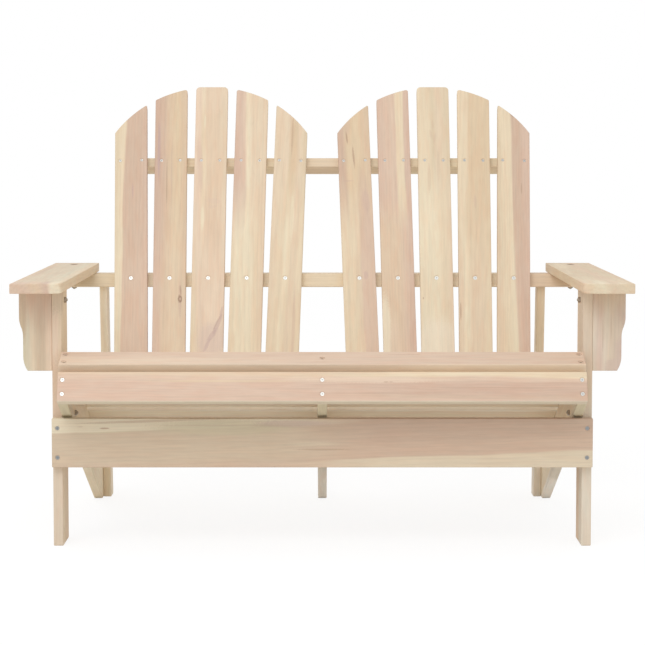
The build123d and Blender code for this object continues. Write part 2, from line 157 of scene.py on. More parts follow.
seeds = add(fir, "CombineXYZ", {"X": given["Seed"], "Y": given["Seed"], "Z": given["Seed"]})
shifted = add(
    fir, "VectorMath",
    {0: seeds.outputs[0], 1: (seed_step, seed_step * 3, seed_step * 2), 2: given["Place"]},
    operation="MULTIPLY_ADD",
).outputs[0]
grain = {}
for layer, (width, length, detail) in grain_layers.items():
    stretched = add(
        fir, "VectorMath", {0: shifted, 1: (1 / width, 1 / length, 1 / width)},
        operation="MULTIPLY",
    )
    grain[layer] = add(
        fir, "TexNoise",
        {
            "Vector": stretched.outputs[0], "Scale": 1.0, "Detail": detail,
            "Roughness": noise_roughness,
        },
    ).outputs["Fac"]
print("layers of noise:", ", ".join(grain))

# %% [markdown]
# ### Where a point lies across the board
# Bands of sapwood and heartwood run along a board, but never quite straight. Drift is how far
# they lean sideways for each millimetre along the board, Skew how far for each millimetre through
# it, and the broadest noise makes them wander. A painted mask could hold each band's edge, but
# these three numbers already put the bands of every board where they belong.

# %% Place across the board
wander_reach = 5.0

sides = add(fir, "SeparateXYZ", {0: given["Place"]}).outputs
wander = add(
    fir, "MapRange", {0: grain["wander"], 3: -wander_reach * 2, 4: wander_reach * 2}
).outputs[0]
leaned = add(
    fir, "Math", {0: sides["Y"], 1: given["Drift"], 2: sides["X"]}, operation="MULTIPLY_ADD"
).outputs[0]
skewed = add(
    fir, "Math", {0: sides["Z"], 1: given["Skew"], 2: leaned}, operation="MULTIPLY_ADD"
).outputs[0]
grain_x = add(fir, "Math", {0: skewed, 1: wander}, operation="ADD").outputs[0]
across = add(fir, "Math", {0: grain_x, 1: given["Width"]}, operation="DIVIDE").outputs[0]
share_across = add(
    fir, "Math", {0: across, 1: 0.5}, operation="ADD", use_clamp=True
).outputs[0]
print("bands wander by up to", wander_reach, "mm")

# %% [markdown]
# ### Growth rings
# Rings are circles round the pith, so the distance from it, counted in ring gaps, says which ring
# a point is in. The Wave texture also draws rings, but only evenly spaced ones round the origin.
# Here the distance is worked out, so the pith may lie anywhere, in or beside the board, and the
# trunk may taper. On a wide face the rings turn into flames and stripes, on an end into arcs.
# Light early wood darkens slowly into late wood and ends sharply at the next spring.

# %% Growth rings
ring_taper = 0.018
ring_unevenness = 1.4
late_wood_begins, late_wood_ends = 0.35, 0.9

ring_x = add(
    fir, "Math", {0: grain_x, 1: given["Pith Across"]}, operation="SUBTRACT"
).outputs[0]
ring_z = add(
    fir, "Math", {0: sides["Y"], 1: ring_taper, 2: sides["Z"]}, operation="MULTIPLY_ADD"
).outputs[0]
ring_depth = add(
    fir, "Math", {0: ring_z, 1: given["Pith Depth"]}, operation="SUBTRACT"
).outputs[0]
from_pith = add(fir, "CombineXYZ", {"X": ring_x, "Y": ring_depth}).outputs[0]
ring_reach = add(fir, "VectorMath", {0: from_pith}, operation="LENGTH").outputs["Value"]
rings = add(fir, "Math", {0: ring_reach, 1: given["Ring Gap"]}, operation="DIVIDE").outputs[0]
uneven = add(
    fir, "Math", {0: grain["ring_wobble"], 1: ring_unevenness, 2: rings},
    operation="MULTIPLY_ADD",
).outputs[0]
ring_phase = add(fir, "Math", {0: uneven}, operation="FRACT").outputs[0]
slow_dark = add(
    fir, "MapRange", {0: ring_phase, 1: late_wood_begins, 2: late_wood_ends},
    interpolation_type="SMOOTHSTEP",
).outputs[0]
spring_edge = add(
    fir, "MapRange", {0: ring_phase, 1: late_wood_ends, 2: 1.0, 3: 1.0, 4: 0.0},
    interpolation_type="SMOOTHSTEP",
).outputs[0]
late_wood = add(fir, "Math", {0: slow_dark, 1: spring_edge}, operation="MULTIPLY").outputs[0]
print("late wood fills", round(1 - late_wood_begins, 2), "of each ring")

# %% [markdown]
# ### Shade, blush and relief
# Each kind of mark changes the wood's tone by a few percent, so they are added up to one number
# that the colour is multiplied by at the end. That keeps the hue of the tones below, which
# mixing in black or white wouldn't. The noise of fibres, clouds and streaks lies about a half, so
# they lighten as often as they darken. Late wood and resin flecks only darken.

# %% Shade, blush and relief
noise_shades = {"fibres": 0.075, "clouds": 0.035, "streaks": 0.07}
ring_shade = 0.035
fleck_shade = 0.10
flecks_from, flecks_full = 0.70, 0.85
blush_from, blush_full = 0.40, 0.66
ring_relief = 0.5

flecks = add(
    fir, "MapRange", {0: grain["flecks"], 1: flecks_from, 2: flecks_full}
).outputs[0]
blush = add(
    fir, "MapRange", {0: grain["blush"], 1: blush_from, 2: blush_full},
    interpolation_type="SMOOTHSTEP",
).outputs[0]
shade = 1.0 - sum(noise_shades.values())
for layer, strength in noise_shades.items():
    shade = add(
        fir, "Math", {0: grain[layer], 1: strength * 2, 2: shade}, operation="MULTIPLY_ADD"
    ).outputs[0]
for darkening, strength in ((late_wood, ring_shade), (flecks, fleck_shade)):
    shade = add(
        fir, "Math", {0: darkening, 1: -strength, 2: shade}, operation="MULTIPLY_ADD"
    ).outputs[0]
height = add(
    fir, "Math", {0: late_wood, 1: ring_relief, 2: grain["fibres"]}, operation="MULTIPLY_ADD"
).outputs[0]

result = fir.nodes.new("NodeGroupOutput").inputs
fir.links.new(share_across, result["Across"])
fir.links.new(shade, result["Shade"])
fir.links.new(blush, result["Blush"])
fir.links.new(height, result["Height"])
fir.links.new(sides["Y"], result["Along"])
print("fir pattern of", len(fir.nodes), "nodes")

# %% [markdown]
# ## The tones of this timber
# Raw fir isn't one colour. The outer sapwood is cream to straw, the wood nearer the middle is tan,
# and the heartwood is rose, with browner streaks where resin has gathered. Each board could have
# colours of its own, but naming these few tones once keeps them all in one family, as boards of
# one batch are.

# %% Tones
tones = {
    "pale": "#F4EAD8",
    "ivory": "#F0E3C9",
    "cream": "#EBDDC1",
    "straw": "#E7D5B8",
    "sand": "#E4D0B5",
    "flax": "#DFCDB0",
    "tan": "#E0C9AE",
    "wheat": "#DEC8A9",
    "oat": "#DAC2A6",
    "peach": "#E6D0B9",
    "blush": "#DDC4AE",
    "rose": "#D8BDA9",
    "fawn": "#D2B8A2",
    "clay": "#D0B4A0",
    "taupe": "#CDB49F",
    "umber": "#B5967F",
    "plum": "#C2A6A0",
    "bark": "#8C6B55",
    "biscuit": "#D0BDA5",
    "putty": "#DAC9B4",
    "linen": "#DECEB5",
    "chalk": "#E0D5C3",
    "milk": "#F4EEE2",
    "shell": "#EBD6BE",
    "mauve": "#DCC6B6",
    "heather": "#D3BEB0",
    "bone": "#DFD3BA",
    "ash": "#D5CBB4",
    "olive": "#CDC2A5",
}
print(len(tones), "tones, from", list(tones)[0], "to", list(tones)[-1])

# %% [markdown]
# ## A board's own material
# Each board gets its own slice of the log. The Mapping node turns the bench's coordinates into
# the board's own, in millimetres, so that the grain runs along it wherever it lies and however it
# leans. A UV map for each board could do the same, but it would have to be unwrapped, and its
# seams would cut the rings. `axes` gives that turn from two directions of the board.

# %% Turn of a board
def axes(across, along):
    """Rotation whose X, Y and Z are a board's across, along and through directions."""
    across, along = Vector(across).normalized(), Vector(along).normalized()
    return Matrix((across, along, across.cross(along))).transposed()


# %% [markdown]
# ### Knots and streaks
# A knot is dark and small, a resin streak long and thin, a stain wide and faint, yet all three
# are ellipses with soft, ragged edges. A Mapping node of the kind that moves a texture makes any
# ellipse a circle of radius 1, so one recipe draws them all. Fine noise frays the rim, because a
# clean ellipse looks stamped on.

# %% Mark on a board
mark_core, mark_rim = 0.8, 1.6
mark_fray = 0.9
through_the_board = 1e6  # a reach in depth that no board has, so a mark goes right through


def lay_mark(tree, colour, place, mark, fine_noise):
    """Lay a mark over a colour: (across, along, half width, half length, turn, tone, strength)."""
    across, along, half_across, half_along, turn, tone, strength = mark
    local = add(
        tree, "Mapping",
        {
            "Vector": place, "Location": (across, along, 0), "Rotation": (0, 0, math.radians(turn)),
            "Scale": (half_across, half_along, through_the_board),
        },
        vector_type="TEXTURE",
    ).outputs[0]
    distance = add(tree, "VectorMath", {0: local}, operation="LENGTH").outputs["Value"]
    ragged = add(
        tree, "Math", {0: fine_noise, 1: mark_fray, 2: distance}, operation="MULTIPLY_ADD"
    ).outputs[0]
    cover = add(
        tree, "MapRange", {0: ragged, 1: mark_core, 2: mark_rim, 3: strength, 4: 0.0},
        interpolation_type="SMOOTHSTEP",
    ).outputs[0]
    return add(
        tree, "Mix", {0: cover, 6: colour, 7: linear(tones[tone])}, data_type="RGBA"
    ).outputs[2]


# %% [markdown]
# ### Bands of tone
# Two colour ramps hold the tones across the board, one for each end, and they mix along the
# length, because no band of heartwood keeps its width from end to end. One ramp alone would look
# like printed stripes. A little red is multiplied in where the pattern says that the wood blushes.

# %% Bands of a board
redder = (1.0, 0.955, 0.935, 1.0)


def board_tones(tree, found, cut, length):
    """Colour of a board before its marks, from the pattern's outputs and its length in mm."""
    ends = []
    for bands in (cut["low"], cut["high"]):
        ramp = add(tree, "ValToRGB", {0: found["Across"]})
        ramp.color_ramp.interpolation = "EASE"
        stops = ramp.color_ramp.elements
        while len(stops) < len(bands):
            stops.new(1.0)
        for stop, (share, tone) in zip(stops, bands):
            stop.position = share
            stop.color = linear(tones[tone])
        ends.append(ramp.outputs[0])
    start, end = cut["change"]
    change = add(
        tree, "MapRange", {0: found["Along"], 1: start * length, 2: end * length},
        interpolation_type="SMOOTHSTEP",
    ).outputs[0]
    colour = add(
        tree, "Mix", {0: change, 6: ends[0], 7: ends[1]}, data_type="RGBA"
    ).outputs[2]
    blush_share = add(
        tree, "Math", {0: found["Blush"], 1: cut["blush"]}, operation="MULTIPLY"
    ).outputs[0]
    return add(
        tree, "Mix", {0: blush_share, 6: colour, 7: redder}, data_type="RGBA",
        blend_type="MULTIPLY",
    ).outputs[2]


# %% [markdown]
# ### The whole board
# Planed raw wood is matt: light goes a little way in and comes out scattered, so the roughness is
# high and the reflection weak. The ends are cut across the fibres and drink up light, so they are
# a tenth darker than the faces.
# A board's cut is a row of a table below. Its low and high tones are (share across, tone) pairs
# for the two ends, and the rest has usual values: the pith's place across and through the board,
# the gap between rings, the drift and skew of the bands, how much it blushes, and over which
# shares of its length, counted from the middle, the low tones change into the high ones.

# %% Board material
fir_ior = 1.5
fir_specular = 0.35
shade_range = (0.8, 1.1)
roughness_range = (0.7, 0.58)
ridge_height = 0.05 * MM
ridge_strength = 0.5
end_grain_turn = (0.6, 0.9)
end_grain_shade = 0.9
fine_noise_scale = 0.35
fine_noise_detail = 2.0
usual_cut = dict(drift=0.0, skew=0.3, rings=5.5, blush=1.0, change=(-0.28, 0.3), marks=())
usual_pith_across, usual_pith_depth = 0.9, -45.0


def fir_board(node, turned, width, cut):
    """Give a board its own fir. Width is across the grain in mm, cut is a row of a table."""
    pith = (usual_pith_across * width, usual_pith_depth)
    cut = {**usual_cut, "pith": pith, "high": cut["low"], **cut}
    low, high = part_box(node)
    material, tree = empty_material("planed_fir_" + node)

    coords = add(tree, "TexCoord").outputs
    place = add(
        tree, "Mapping",
        {
            "Vector": coords["Object"], "Location": (low + high) / 2,
            "Rotation": turned.to_euler(), "Scale": (MM, MM, MM),
        },
        vector_type="TEXTURE",
    ).outputs[0]
    found = add(
        tree, "Group",
        {
            "Place": place, "Seed": cut["seed"], "Width": width, "Drift": cut["drift"],
            "Skew": cut["skew"], "Pith Across": cut["pith"][0], "Pith Depth": cut["pith"][1],
            "Ring Gap": cut["rings"],
        },
        node_tree=fir,
    ).outputs

    colour = board_tones(tree, found, cut, max(high - low) / MM)
    fine = add(
        tree, "TexNoise",
        {
            "Vector": place, "Scale": fine_noise_scale, "Detail": fine_noise_detail,
            "Roughness": noise_roughness,
        },
    ).outputs["Fac"]
    about_zero = add(tree, "Math", {0: fine, 1: 0.5}, operation="SUBTRACT").outputs[0]
    for mark in cut["marks"]:
        colour = lay_mark(tree, colour, place, mark, about_zero)
    shaded = add(
        tree, "VectorMath", {0: colour, "Scale": found["Shade"]}, operation="SCALE"
    ).outputs[0]

    facing = add(
        tree, "VectorMath", {0: coords["Normal"], 1: turned.col[1]}, operation="DOT_PRODUCT"
    ).outputs["Value"]
    end_on = add(tree, "Math", {0: facing}, operation="ABSOLUTE").outputs[0]
    end_dark = add(
        tree, "MapRange",
        {0: end_on, 1: end_grain_turn[0], 2: end_grain_turn[1], 3: 1.0, 4: end_grain_shade},
    ).outputs[0]
    finished = add(
        tree, "VectorMath", {0: shaded, "Scale": end_dark}, operation="SCALE"
    ).outputs[0]

    bump = add(
        tree, "Bump",
        {"Strength": ridge_strength, "Distance": ridge_height, "Height": found["Height"]},
    ).outputs[0]
    rough = add(
        tree, "MapRange",
        {
            0: found["Shade"], 1: shade_range[0], 2: shade_range[1],
            3: roughness_range[0], 4: roughness_range[1],
        },
    ).outputs[0]
    surface = add(
        tree, "BsdfPrincipled",
        {
            "Base Color": finished, "Roughness": rough, "IOR": fir_ior,
            "Specular IOR Level": fir_specular, "Normal": bump,
        },
    )
    add(tree, "OutputMaterial", {"Surface": surface.outputs[0]})
    dress(node, material)


# %% [markdown]
# ## How the boards lie
# The Mapping node needs to know how each board is turned. The angles could be read off each mesh,
# but the bench has only a few directions: the seat slopes down to the back, the first slat tips
# the other way, the back leans, and the slats of a fan spread a little. In every table below,
# "low" holds the tones at the board's first end (the foot of an upright board, the left of a
# cross board, the front of an arm) and "high" those at its other end. A mark is (across, along,
# half width, half length, turn, tone, strength), in millimetres and degrees from the middle of
# the board.

# %% Directions of the boards
def leaning(angle):
    """Unit vector in the side view, at an angle in degrees above the line that points back."""
    return Vector((0, math.cos(math.radians(angle)), math.sin(math.radians(angle))))


seat_slope = 22.6
first_slat_tilt = 19.3
back_tilt = 28.1
rear_leg_lean = 7.6
slat_splay = 0.906
sideways = Vector((1, 0, 0))
backward = Vector((0, 1, 0))
upward = Vector((0, 0, 1))
up_the_back = leaning(90 - back_tilt)
down_the_seat = leaning(-seat_slope)
print("the back leans", back_tilt, "and the seat slopes", seat_slope, "degrees")

# %% [markdown]
# ## The back slats
# These ten boards are what one sees first, so each follows its own piece of timber: a cream edge
# beside rose heartwood, tan with a knot, cream with a faint flame. They also show that a batch
# varies: two of them are nearly all sapwood, two are mostly heart. One shared material with
# random numbers would be shorter, but no board would have its band or knot where it should be.

# %% Back slats
slat_width = 74.5

back_slat_cuts = {
    "back_slat_left_1": dict(
        seed=1, drift=-0.028, pith=(-90, -30), rings=6,
        low=[(0, "cream"), (0.26, "cream"), (0.32, "blush"), (1, "blush")],
        high=[(0, "flax"), (0.23, "straw"), (0.31, "fawn"), (0.6, "fawn"), (1, "rose")],
        marks=[(3, 173, 1.6, 15, 0, "plum", 0.5)],
    ),
    "back_slat_left_2": dict(
        seed=2, drift=-0.004, pith=(70, -50), rings=7,
        low=[(0, "rose"), (0.18, "blush"), (0.36, "tan"), (0.7, "sand"), (1, "tan")],
        high=[
            (0, "clay"), (0.12, "clay"), (0.3, "fawn"), (0.46, "oat"), (0.72, "wheat"),
            (1, "oat"),
        ],
        marks=[
            (24, -121, 3.0, 34, 0, "clay", 0.55), (24, -121, 3.8, 7.5, 0, "bark", 0.7),
            (24.5, -121, 1.5, 3.0, 0, "rose", 0.8), (25, -100, 1.6, 10, 4, "umber", 0.6),
            (-28, 259, 2.6, 60, 0, "plum", 0.75), (-9, 178, 1.0, 48, 0, "umber", 0.55),
            (-23, 50, 1.0, 95, 0, "clay", 0.6), (2, 200, 0.9, 70, 0, "clay", 0.5),
        ],
    ),
    "back_slat_left_3": dict(
        seed=3, drift=0.01, pith=(10, -80), rings=9,
        low=[(0, "straw"), (0.3, "peach"), (0.5, "shell"), (0.75, "shell"), (1, "peach")],
        high=[
            (0, "peach"), (0.2, "peach"), (0.34, "straw"), (0.48, "tan"), (0.8, "tan"),
            (1, "sand"),
        ],
        marks=[
            (10, -226, 24, 34, 0, "mauve", 0.75), (31, -160, 2.2, 14, -10, "plum", 0.4),
            (24, -186, 4.0, 20, -22, "plum", 0.45), (12, -214, 4.4, 16, -32, "plum", 0.45),
            (0, -240, 3.2, 14, -24, "plum", 0.4), (22, -184, 1.2, 16, -24, "umber", 0.25),
            (-24, 215, 5, 55, 3, "rose", 0.5),
            (-16, 78, 3, 26, 0, "cream", 0.8), (-15, 331, 2, 14, 0, "cream", 0.6),
            (-2, 400, 26, 40, 0, "shell", 0.3),
            (10, 122, 13, 6, -8, "blush", 0.5), (8, 108, 10, 3, 10, "blush", 0.4),
        ],
    ),
    "back_slat_left_4": dict(
        seed=4, drift=0.015, pith=(-60, -60), rings=8, change=(0.0, 0.26),
        low=[(0, "straw"), (0.2, "cream"), (0.6, "cream"), (0.8, "straw"), (1, "sand")],
        high=[
            (0, "rose"), (0.24, "rose"), (0.38, "blush"), (0.5, "cream"), (0.66, "sand"),
            (1, "sand"),
        ],
    ),
    "back_slat_left_5": dict(
        seed=5, drift=-0.03, pith=(0, -40), rings=8, change=(0.05, 0.36),
        low=[
            (0, "sand"), (0.4, "straw"), (0.52, "cream"), (0.64, "straw"), (0.72, "sand"),
            (1, "straw"),
        ],
        high=[
            (0, "sand"), (0.34, "sand"), (0.46, "wheat"), (0.6, "wheat"), (0.76, "sand"),
            (1, "flax"),
        ],
        marks=[
            (4, 319, 1.8, 40, 0, "umber", 0.4), (11, 104, 3.5, 50, 0, "cream", 0.65),
            (24, -175, 3, 80, 0, "clay", 0.4),
        ],
    ),
    "back_slat_right_1": dict(
        seed=6, drift=0.02, pith=(20, -60), rings=9, change=(0.05, 0.34),
        low=[(0, "straw"), (0.38, "straw"), (0.56, "sand"), (0.64, "blush"), (1, "blush")],
        high=[(0, "clay"), (0.26, "fawn"), (0.42, "wheat"), (0.75, "wheat"), (1, "oat")],
        marks=[
            (-17, 313, 1.6, 13, 4, "umber", 0.75), (-3, 262, 1.8, 22, 3, "umber", 0.65),
            (-16, 348, 6, 22, 4, "fawn", 0.55),
            (-19, 200, 10, 1.4, 0, "clay", 0.55), (21, 147, 7, 24, 4, "plum", 0.38),
            (17, 170, 8, 50, 3, "rose", 0.4),
            (22, 60, 8, 60, 0, "rose", 0.5), (14, -41, 4, 9, 0, "plum", 0.35),
        ],
    ),
    "back_slat_right_2": dict(
        seed=7, drift=0.0, pith=(100, -40), rings=6, change=(0.05, 0.2),
        low=[(0, "tan"), (0.5, "tan"), (0.86, "blush"), (0.93, "rose"), (1, "rose")],
        high=[
            (0, "rose"), (0.5, "blush"), (0.6, "blush"), (0.66, "straw"), (0.84, "straw"),
            (0.91, "rose"), (1, "rose"),
        ],
        marks=[(-31, -210, 10, 80, 0, "ivory", 0.8), (-10, -235, 12, 50, 0, "peach", 0.5)],
    ),
    "back_slat_right_3": dict(
        seed=8, drift=0.0, pith=(-10, -55), rings=9, change=(0.12, 0.34),
        low=[(0, "cream"), (0.3, "cream"), (0.55, "cream"), (0.8, "straw"), (1, "sand")],
        high=[(0, "straw"), (0.35, "straw"), (0.5, "flax"), (0.66, "sand"), (1, "flax")],
        marks=[
            (-6, 296, 2.4, 10, 9, "fawn", 0.3), (3, 286, 2.2, 12, -7, "fawn", 0.3),
            (-1, 322, 2.0, 9, 4, "oat", 0.6),
            (0, -235, 40, 50, 0, "pale", 0.4), (-12, 180, 3, 30, 0, "oat", 0.5),
            (10, 210, 3, 34, 0, "oat", 0.45),
            (-31, -123, 1.0, 2.2, 0, "umber", 0.6),
        ],
    ),
    "back_slat_right_4": dict(
        seed=9, drift=-0.01, pith=(60, -70), rings=7,
        low=[
            (0, "tan"), (0.14, "sand"), (0.28, "cream"), (0.5, "sand"), (0.75, "sand"),
            (1, "straw"),
        ],
        high=[(0, "straw"), (0.26, "straw"), (0.36, "wheat"), (0.7, "wheat"), (1, "wheat")],
        marks=[(-33, -151, 1.6, 17, 0, "umber", 0.55), (2, 126, 3, 14, 0, "clay", 0.4)],
    ),
    "back_slat_right_5": dict(
        seed=10, drift=0.03, pith=(95, -30), rings=6,
        low=[
            (0, "sand"), (0.3, "straw"), (0.58, "cream"), (0.64, "blush"), (0.8, "rose"),
            (1, "rose"),
        ],
        high=[
            (0, "oat"), (0.14, "flax"), (0.3, "straw"), (0.53, "straw"), (0.59, "fawn"),
            (0.8, "fawn"), (1, "rose"),
        ],
        marks=[(19, 180, 1.4, 12, 0, "umber", 0.5), (-2, 371, 2, 7, 45, "umber", 0.5)],
    ),
}
fan_of_five = (-2, -1, 0, 1, 2)
for side in ("left", "right"):
    for number, place in enumerate(fan_of_five, start=1):
        name = f"back_slat_{side}_{number}"
        spread = math.radians(place * slat_splay)
        slat_across = sideways * math.cos(spread) - up_the_back * math.sin(spread)
        slat_along = sideways * math.sin(spread) + up_the_back * math.cos(spread)
        fir_board(name, axes(slat_across, slat_along), slat_width, back_slat_cuts[name])
print("finished", len(back_slat_cuts), "back slats")

# %% [markdown]
# ## The seat and the boards across the front
# These run from side to side. The apron and the first slat are warm, rosy boards with a cream
# upper edge. The wide lower board is greyer and more olive, from another log. They could share
# the slats' table, but each of these boards has a lean and a width of its own, so the rows here
# begin with those two numbers.

# %% Seat and front boards
apron_lean = 90 - seat_slope
seat_slat_width = 62.0
lower_board_width = 100.0
thin_rail_width = 38.0
deep_rail_width = 42.0

cross_board_cuts = {
    "first_seat_slat": (first_slat_tilt, seat_slat_width, dict(
        seed=11, pith=(20, -60), rings=7, change=(-0.4, 0.15),
        low=[(0, "peach"), (0.3, "peach"), (0.7, "blush"), (1, "blush")],
        high=[(0, "blush"), (1, "blush")],
        marks=[
            (-34, -240, 4, 440, 0, "biscuit", 0.75), (-34, 420, 4, 300, 0, "sand", 0.7),
            (17, 160, 1.0, 26, 0, "umber", 0.45), (17, 185, 1.0, 12, 0, "umber", 0.4),
        ],
    )),
    "apron": (apron_lean, seat_slat_width, dict(
        seed=12, pith=(-80, -40), rings=5, drift=0.006, change=(-0.05, 0.2),
        low=[(0, "rose"), (0.55, "rose"), (0.74, "blush"), (0.88, "tan"), (1, "tan")],
        high=[
            (0, "rose"), (0.14, "fawn"), (0.24, "clay"), (0.58, "clay"), (0.74, "blush"),
            (0.84, "straw"),
        ],
        marks=[
            (-34, 0, 4, 900, 0, "ash", 0.9), (14, 110, 5, 110, 0, "peach", 0.6),
            (10, 127, 1.1, 4, 0, "umber", 0.5), (10, 137, 1.0, 3, 0, "umber", 0.45),
            (4, 40, 1.0, 60, 0, "clay", 0.6), (-4, -20, 0.9, 90, 0, "clay", 0.5),
            (-13, 150, 1.1, 120, 0, "umber", 0.2), (-2, 330, 1.0, 110, 0, "umber", 0.2),
            (12, -200, 2.0, 120, 0, "wheat", 0.6), (-20, -180, 1.6, 120, 0, "fawn", 0.5),
        ],
    )),
    "lower_front_board": (90.0, lower_board_width, dict(
        seed=13, pith=(-120, -40), rings=8, drift=-0.035, blush=0.6, change=(-0.1, 0.12),
        low=[(0, "fawn"), (0.25, "biscuit"), (0.83, "biscuit"), (0.87, "bone"), (1, "bone")],
        high=[
            (0, "linen"), (0.09, "linen"), (0.14, "fawn"), (0.3, "fawn"), (0.5, "taupe"),
            (1, "taupe"),
        ],
        marks=[
            (30, -441, 1.3, 8, 0, "umber", 0.75), (33, -490, 1.0, 5, 0, "umber", 0.3),
            (22, -430, 1.2, 60, -3, "olive", 0.5),
            (45, -340, 2.0, 120, -2, "umber", 0.4), (32, -205, 13, 110, 0, "olive", 0.65),
            (40, -60, 5, 60, 0, "plum", 0.4), (-13, 0, 1.4, 42, 0, "umber", 0.5),
            (-2, -15, 4, 40, 0, "bone", 0.3), (36, -190, 1.4, 120, 0, "umber", 0.25),
        ],
    )),
    "seat_slat_1": (-seat_slope, seat_slat_width, dict(
        seed=14, low=[(0, "peach"), (0.5, "tan"), (1, "blush")],
        high=[(0, "sand"), (0.4, "straw"), (1, "peach")],
    )),
    "seat_slat_2": (-seat_slope, seat_slat_width, dict(
        seed=15, low=[(0, "straw"), (0.3, "straw"), (0.4, "blush"), (1, "rose")],
        high=[(0, "cream"), (0.4, "sand"), (0.6, "blush"), (1, "blush")],
        marks=[(-8, 240, 4, 6, 0, "bark", 0.45), (-8, 240, 8, 30, 0, "clay", 0.35)],
    )),
    "seat_slat_3": (-seat_slope, seat_slat_width, dict(
        seed=16, low=[(0, "tan"), (0.5, "peach"), (1, "tan")], pith=(0, -60), rings=9,
    )),
    "seat_slat_4": (-seat_slope, seat_slat_width, dict(
        # painted light: the cream and ivory at the back of this slat lighten the strip seen below
        # the apron, where its shade falls
        seed=17, low=[(0, "rose"), (0.5, "blush"), (0.64, "clay"), (0.76, "cream"), (1, "ivory")],
        high=[(0, "blush"), (0.4, "tan"), (0.64, "fawn"), (0.76, "straw"), (1, "cream")],
    )),
    "seat_slat_5": (-seat_slope, seat_slat_width, dict(
        # painted light: the pale front edge stands for light falling on it through the gap between
        # the slats
        seed=18, low=[(0, "pale"), (0.06, "pale"), (0.2, "cream"), (0.5, "cream"), (1, "sand")],
        high=[(0, "pale"), (0.06, "pale"), (0.2, "sand"), (0.5, "straw"), (1, "straw")],
    )),
    "upper_back_rail": (90 - back_tilt, thin_rail_width, dict(
        # painted light: the rail is a paler cream where it shows between the slats, and sand in the
        # middle
        seed=19, low=[(0, "cream"), (1, "cream")],
        marks=[(0, 0, 60, 70, 0, "sand", 1.0)],
    )),
    "middle_back_rail": (90.0, deep_rail_width, dict(
        # painted light: ivory where the rail shows between the slats, straw in the middle, and
        # darker flax and tan at the ends as painted shade of the arms
        seed=20, low=[(0, "ivory"), (1, "ivory")],
        marks=[
            (0, -540, 60, 85, 0, "flax", 1.0), (0, 530, 60, 75, 0, "tan", 1.0),
            (0, 0, 60, 75, 0, "straw", 1.0),
        ],
    )),
    "lower_back_rail": (90 - back_tilt, thin_rail_width, dict(
        seed=21, low=[(0, "tan"), (1, "straw")],
    )),
}
for name, (lean, width, cut) in cross_board_cuts.items():
    fir_board(name, axes(leaning(lean), sideways), width, cut)
print("finished", len(cross_board_cuts), "boards across the bench")

# %% [markdown]
# ## The frame and the arms
# Legs and brackets stand with the grain upright, the stringers run down to the back, and the arms
# run from front to back. The left and right boards of a pair could share a row, but they never
# match, because no two boards of a real bench do. The legs turn a narrow edge to the front, so
# their skew is large, which lays the bands across that edge too.

# %% Frame and arms
upright = axes(backward, upward)
along_the_seat = axes(leaning(90 - seat_slope), down_the_seat)
leaning_leg = axes(leaning(rear_leg_lean), leaning(90 + rear_leg_lean))
bracket_turn = axes(sideways, upward)
arm_turn = axes(sideways, backward)
cleat_turn = axes(upward, backward)

leg_width = 100.0
stringer_width = 100.0
rear_leg_width = 48.0
arm_width = 101.0
bracket_width = 66.6
cleat_width = 45.0

# Painted shade: the stringers' lower edges at the front, below the apron, are darker than their
# sides
nose_painted_shade = [(-60, -385, 5, 60, 0, "olive", 1.0)]

